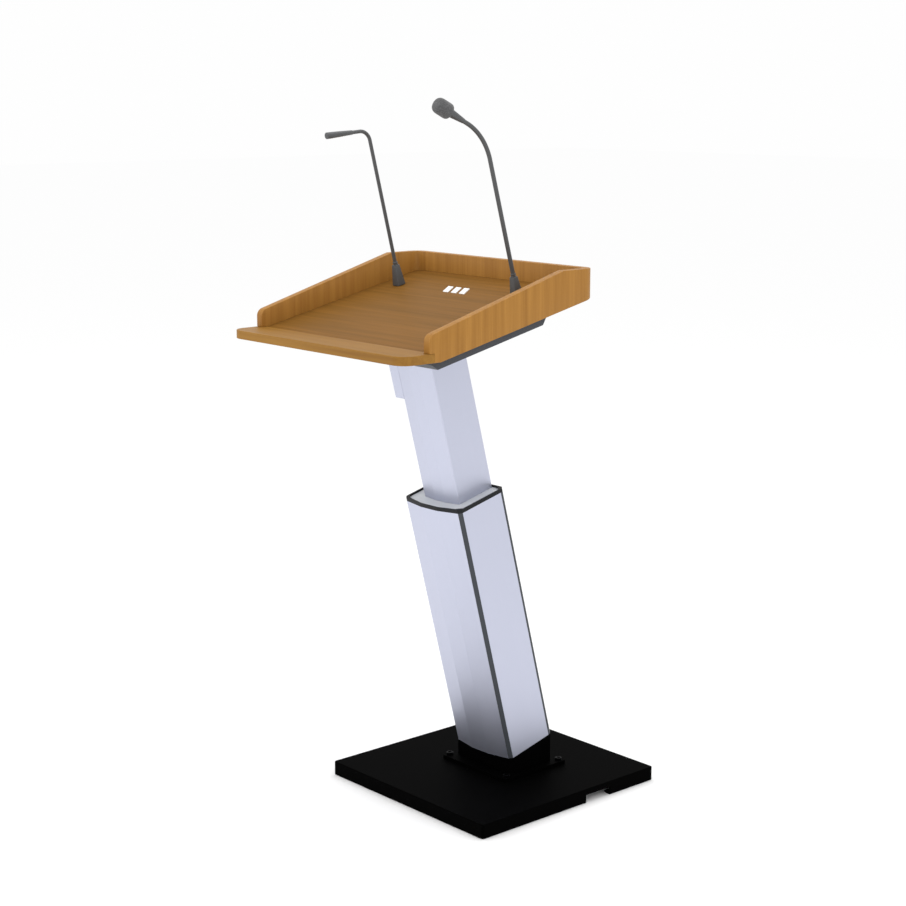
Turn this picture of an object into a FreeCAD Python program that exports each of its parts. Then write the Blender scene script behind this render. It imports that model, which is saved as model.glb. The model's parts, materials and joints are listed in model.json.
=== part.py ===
"""Height-adjustable lectern: leaning two-stage column, sloping wooden tray, gooseneck lamp and microphone.

Frame: origin at the middle of the base's underside on the floor, +X to the speaker's right,
+Y towards the audience, +Z up. Lengths in millimetres, angles in degrees.
"""
import FreeCAD, Part

import math
import os
import re

import Sketcher
from FreeCAD import Placement, Rotation, Vector

DIMENSIONS = {
    # Base: an inverted steel pan on a rubber strip, with a cable notch in its right-hand skirt.
    "base_width": 500,
    "base_depth": 516,
    "base_height": 32,
    "base_corner": 6,
    "steel_thickness": 4,
    "flange_width": 15,
    "flange_thickness": 3,
    "strip_height": 1.5,
    "strip_inset": 3,
    "strip_width": 12,
    "notch_start": 46,
    "notch_end": 122,
    "notch_top": 19,
    "ballast_width": 440,
    "ballast_depth": 450,
    "ballast_thickness": 8,
    # Foot: a wedge casting that tips the column towards the speaker.
    "lean_angle": 14.54,
    "column_root": 58,
    "foot_level": 93.7,
    "foot_inset": 3,
    "foot_flange_width": 214,
    "foot_flange_depth": 190,
    "foot_flange_thickness": 8,
    "foot_bolt_x": 94,
    "foot_bolt_y": 80,
    "foot_bolt_radius": 5,
    # Lower column: three-faceted front, flat sides and back, four dark corner posts.
    "column_half_width": 90.3,
    "column_half_depth": 65.6,
    "corner_chamfer": 7.4,
    "front_bulge": 8.8,
    "facet_half_width": 26,
    "panel_thickness": 2.6,
    "post_depth": 6,
    "post_face": 4.5,
    "rim_level": 697,
    "rim_height": 8,
    "rim_width": 3.5,
    "rim_corner": 14,
    "bush_recess": 4,
    "rail_inset": 64,
    "rail_width": 16,
    "rail_depth": 60,
    "rail_wall": 2.5,
    # Upper column: the sliding profile and what rides on it.
    "profile_half_width": 56.3,
    "profile_front": 35.2,
    "profile_back": 61.4,
    "profile_bulge": 5.5,
    "profile_facet": 16.3,
    "profile_wall": 3,
    "profile_edge": 1.5,
    "profile_length": 618,
    "bush_clearance": 0.4,
    "shoe_height": 60,
    "shoe_gap": 0.4,
    "box_thickness": 29.5,
    "box_half_depth": 35,
    "box_level": 918,
    "box_height": 146,
    # Lift actuator inside the column.
    "actuator_offset": 13,
    "motor_radius": 26,
    "motor_length": 110,
    "motor_level": 120,
    "gearbox_size": 58,
    "gearbox_level": 138,
    "gearbox_height": 52,
    "tube_radius": 17,
    "tube_bore": 14,
    "tube_length": 370,
    "rod_radius": 11,
    "rod_length": 630,
    "wiper_gap": 0.4,
    "wiper_height": 8,
    "nut_width": 34,
    "nut_height": 14,
    # Tray: sloping desk board, level book ledge, walls and rounded rear corners.
    "desk_angle": 12.66,
    "tray_half_width": 279.4,
    "tray_front": -491.8,
    "tray_back": 23.6,
    "desk_level": 1107.7,
    "board_thickness": 18,
    "board_recess": 3,
    "wall_thickness": 18,
    "wall_front": -424,
    "wall_top": 1166.5,
    "wall_angle": 15.8,
    "wall_nose": 12,
    "tray_corner": 30,
    "ledge_bottom": 1013.5,
    "ledge_corner": 32,
    "edge_round": 1.5,
    "joint_gap": 0.1,
    # Desk bracket and the shallow steel cover below the desk.
    "bracket_width": 200,
    "bracket_depth": 170,
    "bracket_thickness": 6,
    "wedge_height": 22,
    "wedge_half_width": 50,
    "wedge_reach": 30,
    "cover_half_width": 260,
    "cover_depth": 19,
    "cover_wall": 2,
    "cover_front": -437,
    "cover_back": -127,
    "cover_slant": 12,
    "cover_opening": 61,
    "screw_radius": 2.5,
    "screw_head": 5,
    "spacer_radius": 5,
    # Keys let into the desk.
    "key_pitch": 25.5,
    "key_centre_x": -24,
    "key_centre_y": -110.4,
    "key_width": 16.5,
    "key_length": 32.8,
    "key_skew": 18,
    "key_height": 17.5,
    "key_gap": 0.5,
    "key_proud": 1.5,
    "switch_width": 104,
    "switch_depth": 40,
    "switch_height": 15,
    # Gooseneck feet, lamp and microphone.
    "foot_base": 20.5,
    "foot_top": 12.5,
    "foot_height": 46,
    "cable_radius": 3.5,
    "ferrule_radius": 5.5,
    "ferrule_height": 6,
    "ferrule_gap": 0.4,
    "lamp_x": -202.5,
    "lamp_y": -118.9,
    "lamp_lean": 14.4,
    "lamp_radius": 4,
    "lamp_straight": 276.8,
    "lamp_bend": 26,
    "lamp_turn": 80.6,
    "lamp_neck": 20,
    "lamp_head_length": 70,
    "lamp_head_radius": 7.2,
    "lens_length": 40,
    "lens_width": 7,
    "lens_depth": 1.5,
    "mic_x": 165,
    "mic_y": -112,
    "mic_lean": 15.6,
    "mic_radius": 4.5,
    "mic_straight": 244.7,
    "mic_bend": 115,
    "mic_turn": 48.9,
    "mic_neck": 10,
    "capsule_cone": 44,
    "capsule_radius": 9,
    "capsule_front": 16,
    "foam_radius": 16.5,
    "foam_length": 36,
    "foam_round": 9,
    # Power inlet on the back of the column.
    "inlet_width": 28,
    "inlet_height": 22,
    "inlet_depth": 20,
    "inlet_level": 150,
}

WORD = re.compile(r"[a-z_]+")
LEAN_COS = "cos(lean_angle * 1 deg)"
LEAN_SIN = "sin(lean_angle * 1 deg)"
DESK_COS = "cos(desk_angle * 1 deg)"
DESK_SIN = "sin(desk_angle * 1 deg)"
DESK_TAN = "tan(desk_angle * 1 deg)"
X_AXIS = Vector(1, 0, 0)
Z_AXIS = Vector(0, 0, 1)

doc = FreeCAD.newDocument("LecternStand")
sheet = doc.addObject("Spreadsheet::Sheet", "Sheet")
for row, (alias, number) in enumerate(DIMENSIONS.items(), start=1):
    sheet.set(f"A{row}", str(number))
    sheet.setAlias(f"A{row}", alias)
doc.recompute()

NODES = []


def value(alias):
    """Number held by one cell of the sheet."""
    return float(sheet.get(alias))


def bound(text):
    """Expression with every dimension's name pointed at the sheet."""
    return WORD.sub(lambda word: f"Sheet.{word[0]}" if word[0] in DIMENSIONS else word[0], str(text))


def bind(item, **expressions):
    """Bind properties of one object to expressions over the sheet."""
    for name, text in expressions.items():
        item.setExpression(name, bound(text))
    return item


# --- reference frames -----------------------------------------------------------------------------

def column_frame(across=0.0, depth=0.0, level=0.0):
    """Placement in the leaning column: across it, front to back, and up along its axis."""
    root = Placement(Vector(0, value("column_root"), 0), Rotation(X_AXIS, value("lean_angle")))
    return root * Placement(Vector(across, depth, level), Rotation())


def desk_frame(across=0.0, slope=0.0, height=0.0):
    """Placement on the desk: across, up the slope, and square to it from the underside of the walls."""
    back = Vector(0, value("tray_back"), value("desk_level"))
    return Placement(back, Rotation(X_AXIS, value("desk_angle"))) * Placement(
        Vector(across, slope, height), Rotation())


def column_meets_desk():
    """Distance along the column's axis at which it meets the underside of the desk board."""
    lean = math.radians(value("lean_angle"))
    desk = math.radians(value("desk_angle"))
    board = value("desk_level") + value("board_recess") / math.cos(desk)
    board += (value("column_root") - value("tray_back")) * math.tan(desk)
    return board / (math.cos(lean) + math.sin(lean) * math.tan(desk))


def slope_at(y_text, height_text):
    """Expression for the up-slope coordinate of a point at world Y and height above the desk frame."""
    return f"(({y_text}) - tray_back + ({height_text}) * {DESK_SIN}) / {DESK_COS}"


def desk_z(y_text, height_text="0"):
    """Expression for the world Z, at world Y, of a plane parallel to the desk."""
    return f"desk_level + ({height_text}) / {DESK_COS} + (({y_text}) - tray_back) * {DESK_TAN}"


# --- building blocks ------------------------------------------------------------------------------

def keep(item, node, placement=None):
    """Name a finished sub-part and put it in its place."""
    item.Label = node
    if placement is not None:
        item.Placement = placement
    NODES.append(item)
    return item


def new_body():
    """Empty PartDesign body."""
    return doc.addObject("PartDesign::Body", "Body")


def sketch_on(body, role="XY_Plane", offset=None):
    """Sketch on one of the body's own origin planes, moved along its normal by an expression."""
    sketch = body.newObject("Sketcher::SketchObject", "Outline")
    support = next(item for item in body.Origin.OriginFeatures if item.Role == role)
    sketch.AttachmentSupport = (support, [""])
    sketch.MapMode = "FlatFace"
    if offset is not None:
        sketch.setExpression("AttachmentOffset.Base.z", bound(offset))
    return sketch


def constrain(sketch, kind, index, point, start, text):
    """Bind one coordinate of a sketch point to an expression."""
    number = sketch.addConstraint(Sketcher.Constraint(kind, -1, 1, index, point, start))
    sketch.setExpression(f"Constraints[{number}]", bound(text))


def polygon(sketch, corners):
    """Closed outline whose corners are pairs of expressions."""
    count = len(corners)
    turn = 2 * math.pi / count
    spots = [Vector(50 * math.cos(turn * i), 50 * math.sin(turn * i), 0) for i in range(count)]
    first = sketch.GeometryCount
    for i in range(count):
        sketch.addGeometry(Part.LineSegment(spots[i], spots[(i + 1) % count]), False)
    for i in range(count):
        sketch.addConstraint(Sketcher.Constraint("Coincident", first + i, 2, first + (i + 1) % count, 1))
    for i, (x_text, y_text) in enumerate(corners):
        constrain(sketch, "DistanceX", first + i, 1, spots[i].x, x_text)
        constrain(sketch, "DistanceY", first + i, 1, spots[i].y, y_text)
    return sketch


def rectangle(sketch, x_low, x_high, y_low, y_high):
    """Rectangle between four expressions."""
    return polygon(sketch, [(x_low, y_low), (x_high, y_low), (x_high, y_high), (x_low, y_high)])


def circle(sketch, x_text, y_text, radius_text):
    """Circle with its centre and radius bound to expressions."""
    index = sketch.addGeometry(Part.Circle(Vector(10, 10, 0), Z_AXIS, 5), False)
    constrain(sketch, "DistanceX", index, 3, 10, x_text)
    constrain(sketch, "DistanceY", index, 3, 10, y_text)
    number = sketch.addConstraint(Sketcher.Constraint("Radius", index, 5))
    sketch.setExpression(f"Constraints[{number}]", bound(radius_text))
    return sketch


def pad(body, sketch, length, symmetric=False, reverse=False):
    """Pad a sketch by an expression."""
    feature = body.newObject("PartDesign::Pad", "Pad")
    feature.Profile = sketch
    feature.setExpression("Length", bound(length))
    feature.SideType = "Symmetric" if symmetric else "One side"
    feature.Reversed = reverse
    doc.recompute()
    return feature


def pocket(body, sketch, length, symmetric=False, reverse=False):
    """Pocket a sketch by an expression and make sure that it removed material."""
    before = body.Shape.Volume
    feature = body.newObject("PartDesign::Pocket", "Pocket")
    feature.Profile = sketch
    feature.setExpression("Length", bound(length))
    feature.SideType = "Symmetric" if symmetric else "One side"
    feature.Reversed = reverse
    doc.recompute()
    if body.Shape.Volume > before - 1e-3:
        raise RuntimeError(f"a pocket in {body.Name} cuts nothing")
    return feature


def fillet(body, radius, wanted):
    """Round the edges of the body's tip that the given test picks."""
    base = body.Tip
    names = [f"Edge{i}" for i, edge in enumerate(base.Shape.Edges, start=1) if wanted(edge)]
    feature = body.newObject("PartDesign::Fillet", "Fillet")
    feature.Base = (base, names)
    feature.setExpression("Radius", bound(radius))
    doc.recompute()
    return feature


def runs_along(edge, axis):
    """True for a straight edge parallel to the axis."""
    if edge.Curve.TypeId != "Part::GeomLine":
        return False
    return abs(abs(edge.tangentAt(edge.FirstParameter).dot(axis)) - 1) < 1e-6


def box(length, width, height, placement=None):
    """Part box with its corner at the placement."""
    item = bind(doc.addObject("Part::Box", "Box"), Length=length, Width=width, Height=height)
    item.Placement = placement or Placement()
    return item


def cylinder(radius, height, placement=None):
    """Part cylinder standing on the placement."""
    item = bind(doc.addObject("Part::Cylinder", "Cylinder"), Radius=radius, Height=height)
    item.Placement = placement or Placement()
    return item


def cone(low_radius, high_radius, height, placement=None):
    """Part cone standing on the placement."""
    item = bind(doc.addObject("Part::Cone", "Cone"), Radius1=low_radius, Radius2=high_radius, Height=height)
    item.Placement = placement or Placement()
    return item


def sphere(radius, placement=None):
    """Part sphere about the placement."""
    item = bind(doc.addObject("Part::Sphere", "Sphere"), Radius=radius)
    item.Placement = placement or Placement()
    return item


def cut(base, tool):
    """Base with the tool removed."""
    item = doc.addObject("Part::Cut", "Cut")
    item.Base = base
    item.Tool = tool
    doc.recompute()
    return item


def fuse(*shapes):
    """One solid made of several touching ones."""
    item = doc.addObject("Part::MultiFuse", "Fusion")
    item.Shapes = list(shapes)
    item.Refine = True
    doc.recompute()
    return item


def group(*shapes):
    """Several separate solids kept as one sub-part."""
    item = doc.addObject("Part::Compound", "Group")
    item.Links = list(shapes)
    doc.recompute()
    return item


def at(x, y, z, rotation=None):
    """Placement at a point."""
    return Placement(Vector(x, y, z), rotation or Rotation())


def signs():
    """The four corners of a rectangular pattern."""
    return [(sx, sy) for sx in (-1, 1) for sy in (-1, 1)]


# --- base and foot --------------------------------------------------------------------------------

def foot_centre():
    """World Y of the column's axis at the top of the foot casting."""
    return column_frame(level=value("foot_level")).Base.y


def foot_bolt_spots():
    """World X and Y of the bolts that hold the foot casting down."""
    middle = foot_centre()
    return [(sx * value("foot_bolt_x"), middle + sy * value("foot_bolt_y")) for sx, sy in signs()]


def bolt_holes(body, radius, depth, offset):
    """Vertical holes for the foot bolts, sunk from a plane at the offset."""
    sketch = sketch_on(body, offset=offset)
    centre = f"(column_root - foot_level * {LEAN_SIN})"
    for sx, sy in signs():
        circle(sketch, f"{sx} * foot_bolt_x", f"{centre} + {sy} * foot_bolt_y", radius)
    pocket(body, sketch, depth)


def build_base_pan():
    """Folded steel pan, open below, with a return flange round its lower edge."""
    body = new_body()
    outline = rectangle(sketch_on(body, offset="strip_height"), "-base_width / 2", "base_width / 2",
                        "-base_depth / 2", "base_depth / 2")
    pad(body, outline, "base_height - strip_height")
    fillet(body, "base_corner", lambda edge: runs_along(edge, Z_AXIS))
    fillet(body, "steel_thickness / 2", lambda edge: edge.BoundBox.ZMin > value("base_height") - 0.01)
    inset = "(steel_thickness + flange_width)"
    mouth = rectangle(sketch_on(body, offset="strip_height"), f"-base_width / 2 + {inset}",
                      f"base_width / 2 - {inset}", f"-base_depth / 2 + {inset}", f"base_depth / 2 - {inset}")
    pocket(body, mouth, "flange_thickness", reverse=True)
    skirt = "steel_thickness"
    hollow = rectangle(sketch_on(body, offset="strip_height + flange_thickness"),
                       f"-base_width / 2 + {skirt}", f"base_width / 2 - {skirt}",
                       f"-base_depth / 2 + {skirt}", f"base_depth / 2 - {skirt}")
    pocket(body, hollow, "base_height - strip_height - flange_thickness - steel_thickness", reverse=True)
    notch = rectangle(sketch_on(body, "YZ_Plane", "base_width / 2 + 1"), "notch_start", "notch_end",
                      "-1", "notch_top")
    pocket(body, notch, "steel_thickness + flange_width + 2")
    bolt_holes(body, "foot_bolt_radius + 0.5", "steel_thickness + 1", "base_height + 0.5")
    keep(body, "base_pan")


def build_ballast_plate():
    """Heavy steel plate under the pan's top."""
    body = new_body()
    low = "base_height - steel_thickness - ballast_thickness"
    outline = rectangle(sketch_on(body, offset=low), "-ballast_width / 2", "ballast_width / 2",
                        "-ballast_depth / 2", "ballast_depth / 2")
    pad(body, outline, "ballast_thickness")
    bolt_holes(body, "foot_bolt_radius + 0.5", "ballast_thickness + 1",
               "base_height - steel_thickness + 0.5")
    keep(body, "ballast_plate")


def build_rubber_strip():
    """Rubber strip under the return flange, interrupted at the cable notch."""
    body = new_body()
    sketch = sketch_on(body)
    for inset in ("strip_inset", "(strip_inset + strip_width)"):
        rectangle(sketch, f"-base_width / 2 + {inset}", f"base_width / 2 - {inset}",
                  f"-base_depth / 2 + {inset}", f"base_depth / 2 - {inset}")
    pad(body, sketch, "strip_height")
    notch = rectangle(sketch_on(body), "base_width / 2 - strip_inset - strip_width - 2", "base_width / 2",
                      "notch_start", "notch_end")
    pocket(body, notch, "strip_height", reverse=True)
    keep(body, "rubber_strip")


def build_foot_casting():
    """Bolted flange with a wedge whose top is square to the leaning column."""
    body = new_body()
    centre = f"(column_root - foot_level * {LEAN_SIN})"
    flange = rectangle(sketch_on(body, offset="base_height"), "-foot_flange_width / 2",
                       "foot_flange_width / 2", f"{centre} - foot_flange_depth / 2",
                       f"{centre} + foot_flange_depth / 2")
    pad(body, flange, "foot_flange_thickness")
    fillet(body, 12, lambda edge: runs_along(edge, Z_AXIS))
    reach = "(column_half_depth - foot_inset)"
    front_y = f"column_root - {reach} * {LEAN_COS} - foot_level * {LEAN_SIN}"
    front_z = f"foot_level * {LEAN_COS} - {reach} * {LEAN_SIN}"
    back_y = f"column_root + {reach} * {LEAN_COS} - foot_level * {LEAN_SIN}"
    back_z = f"foot_level * {LEAN_COS} + {reach} * {LEAN_SIN}"
    top = "base_height + foot_flange_thickness"
    wedge = polygon(sketch_on(body, "YZ_Plane"),
                    [(front_y, f"{top} - 1"), (back_y, f"{top} - 1"), (back_y, back_z), (front_y, front_z)])
    pad(body, wedge, "2 * (column_half_width - foot_inset)", symmetric=True)
    bolt_holes(body, "foot_bolt_radius + 0.3", "foot_flange_thickness + 1", f"{top} + 0.5")
    keep(body, "foot_casting")


def build_foot_bolts():
    """Four cap screws through flange, pan and ballast, each with its nut below."""
    low = value("base_height") - value("steel_thickness") - value("ballast_thickness")
    high = value("base_height") + value("foot_flange_thickness")
    bolts = []
    for x, y in foot_bolt_spots():
        stack = "steel_thickness + ballast_thickness + foot_flange_thickness"
        shank = cylinder("foot_bolt_radius", f"{stack} + 4", at(x, y, low - 4))
        head = cylinder("foot_bolt_radius * 1.6", "foot_bolt_radius", at(x, y, high))
        nut = cylinder("foot_bolt_radius * 1.7", "4", at(x, y, low - 4))
        bolts.append(fuse(shank, head, nut))
    keep(group(*bolts), "foot_bolts")


# --- lower column ---------------------------------------------------------------------------------

SHELL_LENGTH = "(rim_level - rim_height - foot_level)"


def shell_frame(across=0.0, depth=0.0):
    """Placement at the lower column's foot."""
    return column_frame(across, depth, value("foot_level"))


def build_front_panel():
    """Three-faceted aluminium panel that faces the speaker."""
    body = new_body()
    side = "column_half_width - corner_chamfer - joint_gap"
    outer = "-(column_half_depth + front_bulge)"
    inner = f"{outer} + panel_thickness"
    corners = [(f"-({side})", "-column_half_depth"), ("-facet_half_width", outer),
               ("facet_half_width", outer), (side, "-column_half_depth"),
               (side, "-column_half_depth + panel_thickness"), ("facet_half_width", inner),
               ("-facet_half_width", inner), (f"-({side})", "-column_half_depth + panel_thickness")]
    pad(body, polygon(sketch_on(body), corners), SHELL_LENGTH)
    keep(body, "front_panel", shell_frame())


def build_side_panels():
    """Flat aluminium panels on the left and right."""
    clear = value("corner_chamfer") + value("joint_gap")
    front = clear - value("column_half_depth")
    for node, across in (("side_panel_left", -value("column_half_width")),
                         ("side_panel_right", value("column_half_width") - value("panel_thickness"))):
        panel = box("panel_thickness", "2 * (column_half_depth - corner_chamfer - joint_gap) - post_face",
                    SHELL_LENGTH)
        keep(panel, node, shell_frame(across, front))


def build_back_panel():
    """Flat aluminium panel towards the audience, with the inlet's cut-out near its foot."""
    body = new_body()
    side = "column_half_width - corner_chamfer - joint_gap"
    outline = rectangle(sketch_on(body), f"-({side})", side, "column_half_depth - panel_thickness",
                        "column_half_depth")
    pad(body, outline, SHELL_LENGTH)
    hole = rectangle(sketch_on(body, "XZ_Plane", "-column_half_depth - 1"), "-inlet_width / 2 - 0.2",
                     "inlet_width / 2 + 0.2", "inlet_level - foot_level - 0.2",
                     "inlet_level - foot_level + inlet_height + 0.2")
    pocket(body, hole, "panel_thickness + 2", reverse=True)
    keep(body, "back_panel", shell_frame())


def build_corner_posts():
    """Four dark posts with rebates for the panels; the back ones show a strip on the column's sides."""
    outer_x = "column_half_width"
    chamfer_x = "(column_half_width - corner_chamfer)"
    rebate_x = "(column_half_width - panel_thickness - joint_gap)"
    inner_x = f"({chamfer_x} - post_depth)"
    outer_y = "column_half_depth"
    chamfer_y = "(column_half_depth - corner_chamfer)"
    rebate_y = "(column_half_depth - panel_thickness - joint_gap)"
    inner_y = f"({chamfer_y} - post_depth)"
    strip_y = f"({chamfer_y} - post_face)"
    inside = [(rebate_x, inner_y), (inner_x, inner_y), (inner_x, rebate_y), (chamfer_x, rebate_y)]
    front = [(chamfer_x, outer_y), (outer_x, chamfer_y), (rebate_x, chamfer_y)] + inside
    back = [(chamfer_x, outer_y), (outer_x, chamfer_y), (outer_x, strip_y), (rebate_x, strip_y)] + inside
    for end, sy, corners in (("front", -1, front), ("back", 1, back)):
        for side, sx in (("left", -1), ("right", 1)):
            body = new_body()
            outline = polygon(sketch_on(body), [(f"{sx} * {x}", f"{sy} * {y}") for x, y in corners])
            pad(body, outline, SHELL_LENGTH)
            keep(body, f"post_{end}_{side}", shell_frame())


def section_outline():
    """Corners of the lower column's full outline."""
    chamfer_x = "(column_half_width - corner_chamfer)"
    chamfer_y = "(column_half_depth - corner_chamfer)"
    bulge = "-(column_half_depth + front_bulge)"
    return [(f"-{chamfer_x}", "-column_half_depth"), ("-facet_half_width", bulge),
            ("facet_half_width", bulge), (chamfer_x, "-column_half_depth"),
            ("column_half_width", f"-{chamfer_y}"), ("column_half_width", chamfer_y),
            (chamfer_x, "column_half_depth"), (f"-{chamfer_x}", "column_half_depth"),
            ("-column_half_width", chamfer_y), ("-column_half_width", f"-{chamfer_y}")]


def rim_opening(gap="0"):
    """Corners of the opening inside the rim, pulled in by a gap."""
    near_x = f"(column_half_width - rim_width - ({gap}))"
    far_x = "(column_half_width - rim_width - rim_corner)"
    near_y = f"(column_half_depth - rim_width - ({gap}))"
    far_y = "(column_half_depth - rim_corner)"
    bulge = f"-(column_half_depth + front_bulge - rim_width - ({gap}))"
    return [(f"-{far_x}", f"-{near_y}"), ("-facet_half_width", bulge), ("facet_half_width", bulge),
            (far_x, f"-{near_y}"), (near_x, f"-{far_y}"), (near_x, far_y), (far_x, near_y),
            (f"-{far_x}", near_y), (f"-{near_x}", far_y), (f"-{near_x}", f"-{far_y}")]


def profile_outline(grow="0"):
    """Corners of the sliding profile, grown outwards by an expression."""
    side = f"(profile_half_width + ({grow}))"
    front = f"-(profile_front + ({grow}))"
    bulge = f"-(profile_front + profile_bulge + ({grow}))"
    back = f"(profile_back + ({grow}))"
    return [(f"-{side}", front), ("-profile_facet", bulge), ("profile_facet", bulge), (side, front),
            (side, back), (f"-{side}", back)]


def rim_frame():
    """Placement at the underside of the rim."""
    return column_frame(level=value("rim_level") - value("rim_height"))


def build_rim_collar():
    """Dark collar that ties the panels and posts together at the top of the lower column."""
    body = new_body()
    sketch = sketch_on(body)
    polygon(sketch, section_outline())
    polygon(sketch, rim_opening())
    pad(body, sketch, "rim_height")
    keep(body, "rim_collar", rim_frame())


def build_collar_bush():
    """Light plastic guide bush between the collar and the sliding profile, set below the collar's top."""
    body = new_body()
    sketch = sketch_on(body)
    polygon(sketch, rim_opening("joint_gap"))
    polygon(sketch, profile_outline("bush_clearance"))
    pad(body, sketch, "rim_height - bush_recess")
    keep(body, "collar_bush", rim_frame())


def build_guide_rails():
    """Rectangular tubes beside the profile that its shoes slide along."""
    wall = value("rail_wall")
    for node, across in (("guide_rail_left", -value("rail_inset") - value("rail_width")),
                         ("guide_rail_right", value("rail_inset"))):
        front = value("actuator_offset") - value("rail_depth") / 2
        outer = box("rail_width", "rail_depth", SHELL_LENGTH, shell_frame(across, front))
        inner = box("rail_width - 2 * rail_wall", "rail_depth - 2 * rail_wall", SHELL_LENGTH,
                    shell_frame(across + wall, front + wall))
        keep(cut(outer, inner), node)


def build_power_inlet():
    """Appliance inlet let into the back panel."""
    back = value("column_half_depth")
    low = value("inlet_level")
    width = value("inlet_width")
    flange = box("inlet_width + 10", "2", "inlet_height + 8",
                 column_frame(-width / 2 - 5, back, low - 4))
    block = box("inlet_width", "inlet_depth", "inlet_height",
                column_frame(-width / 2, back + 1 - value("inlet_depth"), low))
    well = box("inlet_width - 5", "inlet_depth - 4", "inlet_height - 5",
               column_frame(-width / 2 + 2.5, back + 6 - value("inlet_depth"), low + 2.5))
    pins = [box("2", "13", "4", column_frame(x - 1, back + 5 - value("inlet_depth"), low + z))
            for x, z in ((-7, 7), (7, 7), (0, 12))]
    shell = cut(fuse(flange, block), well)
    keep(fuse(shell, *pins), "power_inlet")


# --- lift actuator --------------------------------------------------------------------------------

def build_lift_motor():
    """Motor lying across the bottom of the column."""
    across = Rotation(Vector(0, 1, 0), 90)
    start = column_frame(-value("motor_length") / 2, value("actuator_offset"), value("motor_level"))
    keep(cylinder("motor_radius", "motor_length", start * at(0, 0, 0, across)), "lift_motor")


def build_gearbox():
    """Gearbox on the motor, with the guide tube of the actuator standing on it."""
    half = value("gearbox_size") / 2
    offset = value("actuator_offset")
    low = value("gearbox_level")
    top = low + value("gearbox_height")
    block = box("gearbox_size", "gearbox_size", "gearbox_height", column_frame(-half, offset - half, low))
    lap = value("motor_level")
    saddle = cylinder("motor_radius + 0.1", "motor_length",
                      column_frame(-value("motor_length") / 2, offset, lap)
                      * at(0, 0, 0, Rotation(Vector(0, 1, 0), 90)))
    keep(cut(block, saddle), "actuator_gearbox")
    outer = cylinder("tube_radius", "tube_length", column_frame(0, offset, top))
    bore = cylinder("tube_bore", "tube_length - wiper_height", column_frame(0, offset, top))
    mouth = cylinder("rod_radius + wiper_gap", "tube_length", column_frame(0, offset, top))
    keep(cut(cut(outer, bore), mouth), "actuator_tube")


def build_actuator_rod():
    """Push rod and its lock nut, hung from the desk bracket inside the sliding profile."""
    offset = value("actuator_offset")
    top = column_meets_desk() - value("wedge_height")
    low = top - value("rod_length")
    keep(cylinder("rod_radius", "rod_length", column_frame(0, offset, low)), "actuator_rod")
    body = new_body()
    reach = "nut_width / sqrt(3)"
    turns = [(f"{reach} * cos({60 * i} deg)", f"{reach} * sin({60 * i} deg)") for i in range(6)]
    sketch = polygon(sketch_on(body), turns)
    circle(sketch, "0", "0", "rod_radius + 0.05")
    pad(body, sketch, "nut_height")
    keep(body, "rod_nut", column_frame(0, offset, top - value("nut_height")))


# --- sliding profile ------------------------------------------------------------------------------

def profile_low():
    """Level of the sliding profile's lower end."""
    return column_meets_desk() - value("wedge_height") - value("profile_length")


def build_upper_profile():
    """Hollow aluminium profile with a three-faceted front."""
    body = new_body()
    sketch = sketch_on(body)
    polygon(sketch, profile_outline())
    polygon(sketch, profile_outline("-profile_wall"))
    pad(body, sketch, "profile_length")
    reach = value("profile_half_width") - 0.1
    fillet(body, "profile_edge", lambda edge: runs_along(edge, Z_AXIS) and abs(edge.Vertexes[0].X) > reach)
    keep(body, "upper_profile", column_frame(level=profile_low()))


def build_glide_shoes():
    """Plastic shoes on both sides of the profile's lower end."""
    low = profile_low() + 4
    front = value("actuator_offset") - value("rail_depth") / 2 + 5
    side = value("profile_half_width")
    for node, across in (("glide_shoe_left", -value("rail_inset") + value("shoe_gap")),
                         ("glide_shoe_right", side)):
        shoe = box("rail_inset - profile_half_width - shoe_gap", "rail_depth - 10", "shoe_height")
        keep(shoe, node, column_frame(across, front, low))


def build_control_box():
    """Slim housing of the lift control on the profile's left side, just below the desk."""
    body = new_body()
    outline = rectangle(sketch_on(body), "-profile_half_width - box_thickness", "-profile_half_width",
                        "-box_half_depth", "box_half_depth")
    pad(body, outline, "box_height")
    outside = -value("profile_half_width") - value("box_thickness") + 0.1
    fillet(body, 2, lambda edge: runs_along(edge, Z_AXIS) and edge.Vertexes[0].X < outside)
    keep(body, "control_box", column_frame(level=value("box_level")))


# --- tray -----------------------------------------------------------------------------------------

BOARD_TOP = "(board_recess + board_thickness)"
LEDGE_TOP = "(ledge_bottom + board_thickness)"
LEDGE_BACK = f"(tray_back - (desk_level + {BOARD_TOP} / {DESK_COS} - {LEDGE_TOP}) / {DESK_TAN})"
INNER_SIDE = "(tray_half_width - wall_thickness)"
CORNER_START = "(tray_back - tray_corner)"


def bracket_slope():
    """Up-slope coordinate at which the column's axis meets the desk board."""
    meeting = column_frame(level=column_meets_desk()).Base
    return desk_frame().inverse().multVec(meeting).y


def bracket_screw_spots():
    """Across and up-slope places of the screws through the desk bracket."""
    middle = bracket_slope()
    reach_x = value("bracket_width") / 2 - 14
    reach_y = value("bracket_depth") / 2 - 14
    return [(sx * reach_x, middle + sy * reach_y) for sx, sy in signs()]


def cover_screw_spots():
    """Across and up-slope places of the screws through the cover."""
    reach_x = value("cover_half_width") - 40
    low = value("cover_front") + 40
    high = value("cover_back") - 21
    return [(x, slope) for x in (-reach_x, 0, reach_x) for slope in (low, high)]


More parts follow.
